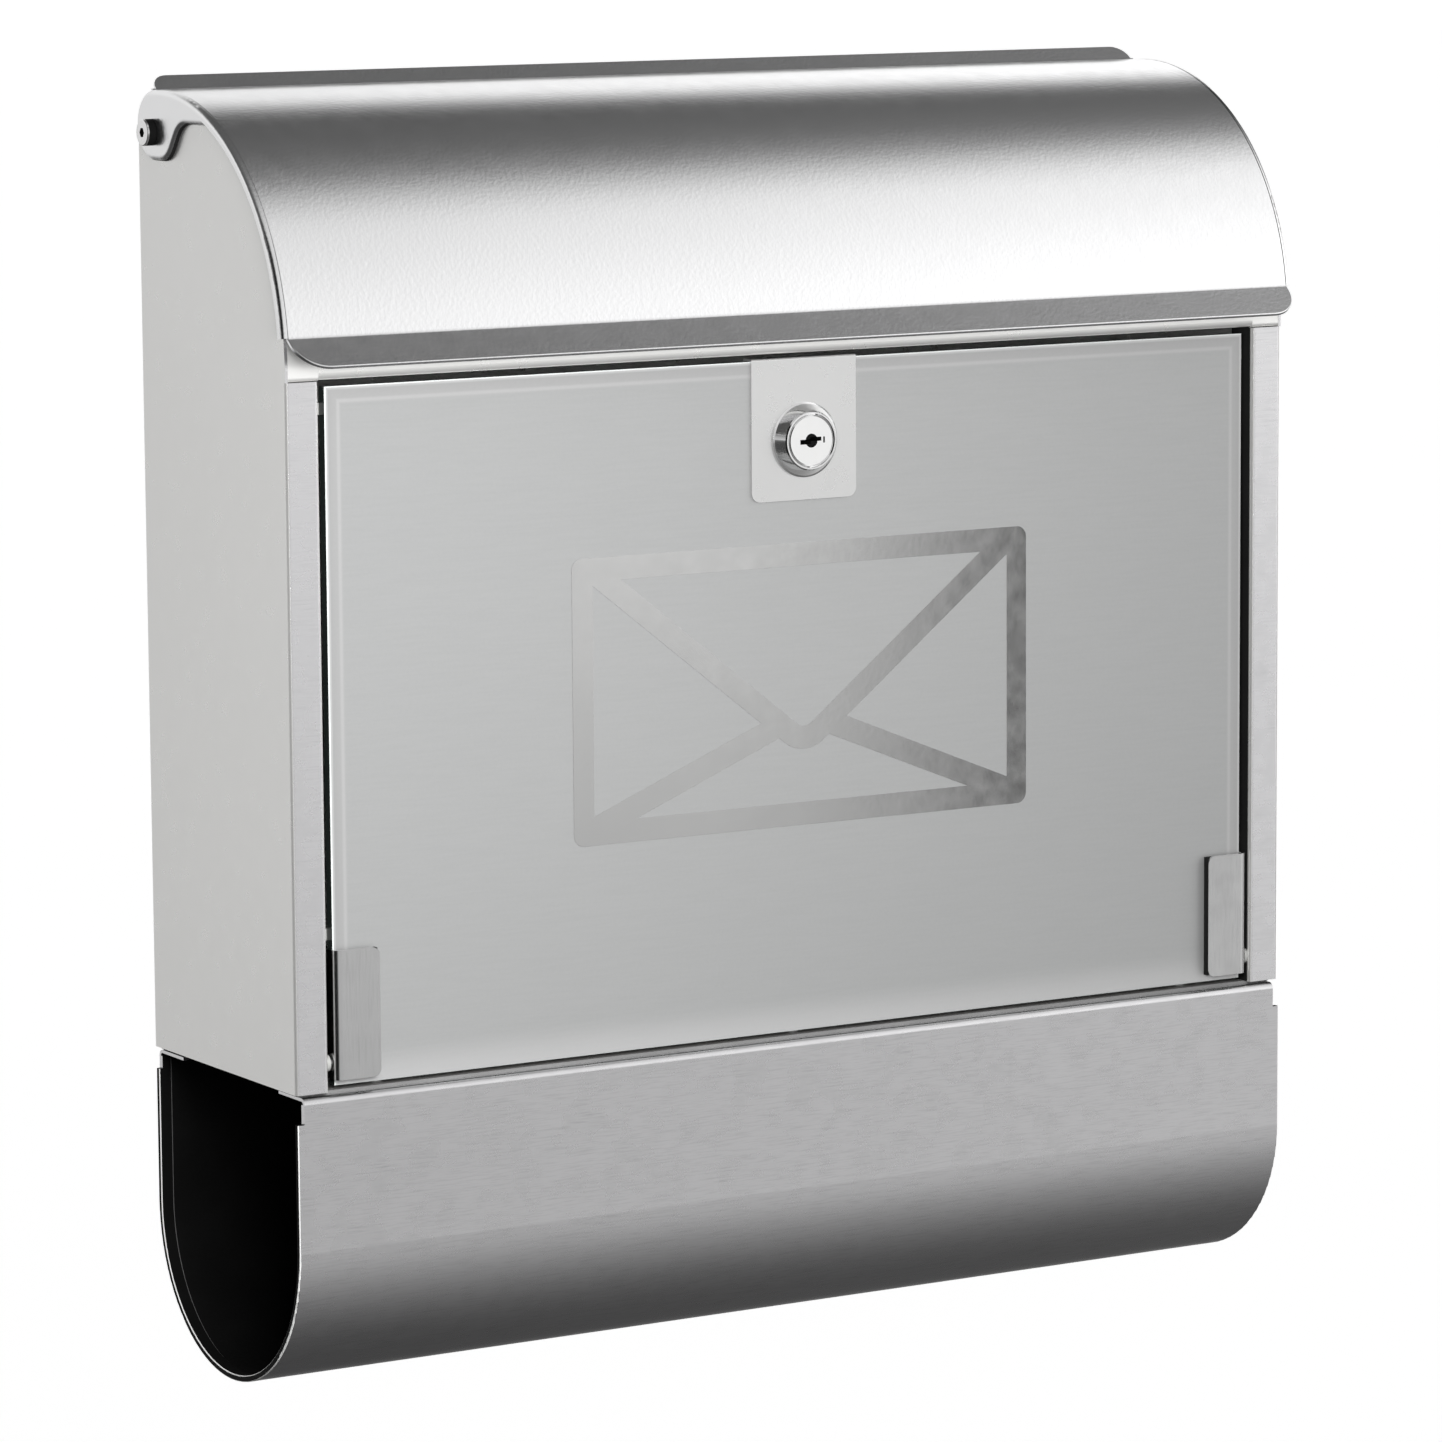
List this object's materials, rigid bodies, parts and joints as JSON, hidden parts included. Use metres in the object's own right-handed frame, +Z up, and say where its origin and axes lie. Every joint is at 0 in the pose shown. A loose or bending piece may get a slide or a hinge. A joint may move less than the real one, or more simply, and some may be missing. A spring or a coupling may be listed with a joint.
{
  "type": "wall mounted mailbox",
  "caption": "Shallow wall letter box with a curved lift-up lid, a locking fold-down glass front and an open-ended newspaper tray below.",
  "frame": {"origin": "middle of the four wall-screw holes, on the wall plane at the back panel's rear face", "axes": "+X to the viewer's right, +Y into the wall, +Z up"},
  "size_m": [0.3758, 0.1078, 0.4024],
  "materials": {
    "painted_sheet": "satin light grey metallic coating",
    "lid_paint": "glossy light grey metallic coating with slight orange peel",
    "brushed_sheet": "brushed along the length, satin",
    "bracket_steel": "fine satin",
    "fastener_steel": "zinc plated",
    "lock_chrome": "polished",
    "satin_glass": "etched satin front, polished edges, silver-grey backing",
    "sign_foil": "bright foil",
    "black_nylon": "smooth matt",
    "pale_nylon": "smooth matt",
    "black_rubber": "matt"
  },
  "bodies": {
    "case": {"back_panel": "painted_sheet", "left_side_panel": "painted_sheet", "right_side_panel": "painted_sheet", "header_rail": "painted_sheet", "floor_panel": "painted_sheet", "newspaper_tray": "brushed_sheet", "tray_rivets": "fastener_steel", "lid_pivot_bolts": "fastener_steel", "lid_pivot_bushes": "black_nylon", "lid_pivot_washers": "fastener_steel", "lid_pivot_nuts": "fastener_steel", "lid_bumpers": "black_rubber", "door_hinge_bushes": "pale_nylon", "door_stops": "pale_nylon"},
    "lid": {"lid_shell": "lid_paint", "lid_cheek_left": "lid_paint", "lid_cheek_right": "lid_paint"},
    "door": {"door_glass": "satin_glass", "door_backplate": "painted_sheet", "glass_tape": "black_rubber", "hinge_bracket_left": "bracket_steel", "hinge_bracket_right": "bracket_steel", "bracket_pads": "black_rubber", "bracket_screws": "fastener_steel", "lock_plate": "bracket_steel", "lock_housing": "lock_chrome", "lock_washer": "fastener_steel", "lock_nut": "fastener_steel", "envelope_sign": "sign_foil"},
    "lock": {"lock_plug": "lock_chrome", "lock_cam": "fastener_steel", "cam_screw": "fastener_steel"}
  },
  "joints": [
    {"name": "lid_hinge", "type": "hinge", "parent": "case", "child": "lid", "pos_m": [0, -0.0133, 0.1379], "axis": [-1, 0, 0], "range_deg": [0, 21]},
    {"name": "door_hinge", "type": "hinge", "parent": "case", "child": "door", "pos_m": [0, -0.0928, -0.1415], "axis": [1, 0, 0], "range_deg": [0, 120]},
    {"name": "lock_turn", "type": "hinge", "parent": "door", "child": "lock", "pos_m": [0, -0.0951, 0.0394], "axis": [0, -1, 0], "range_deg": [0, 90]}
  ]
}
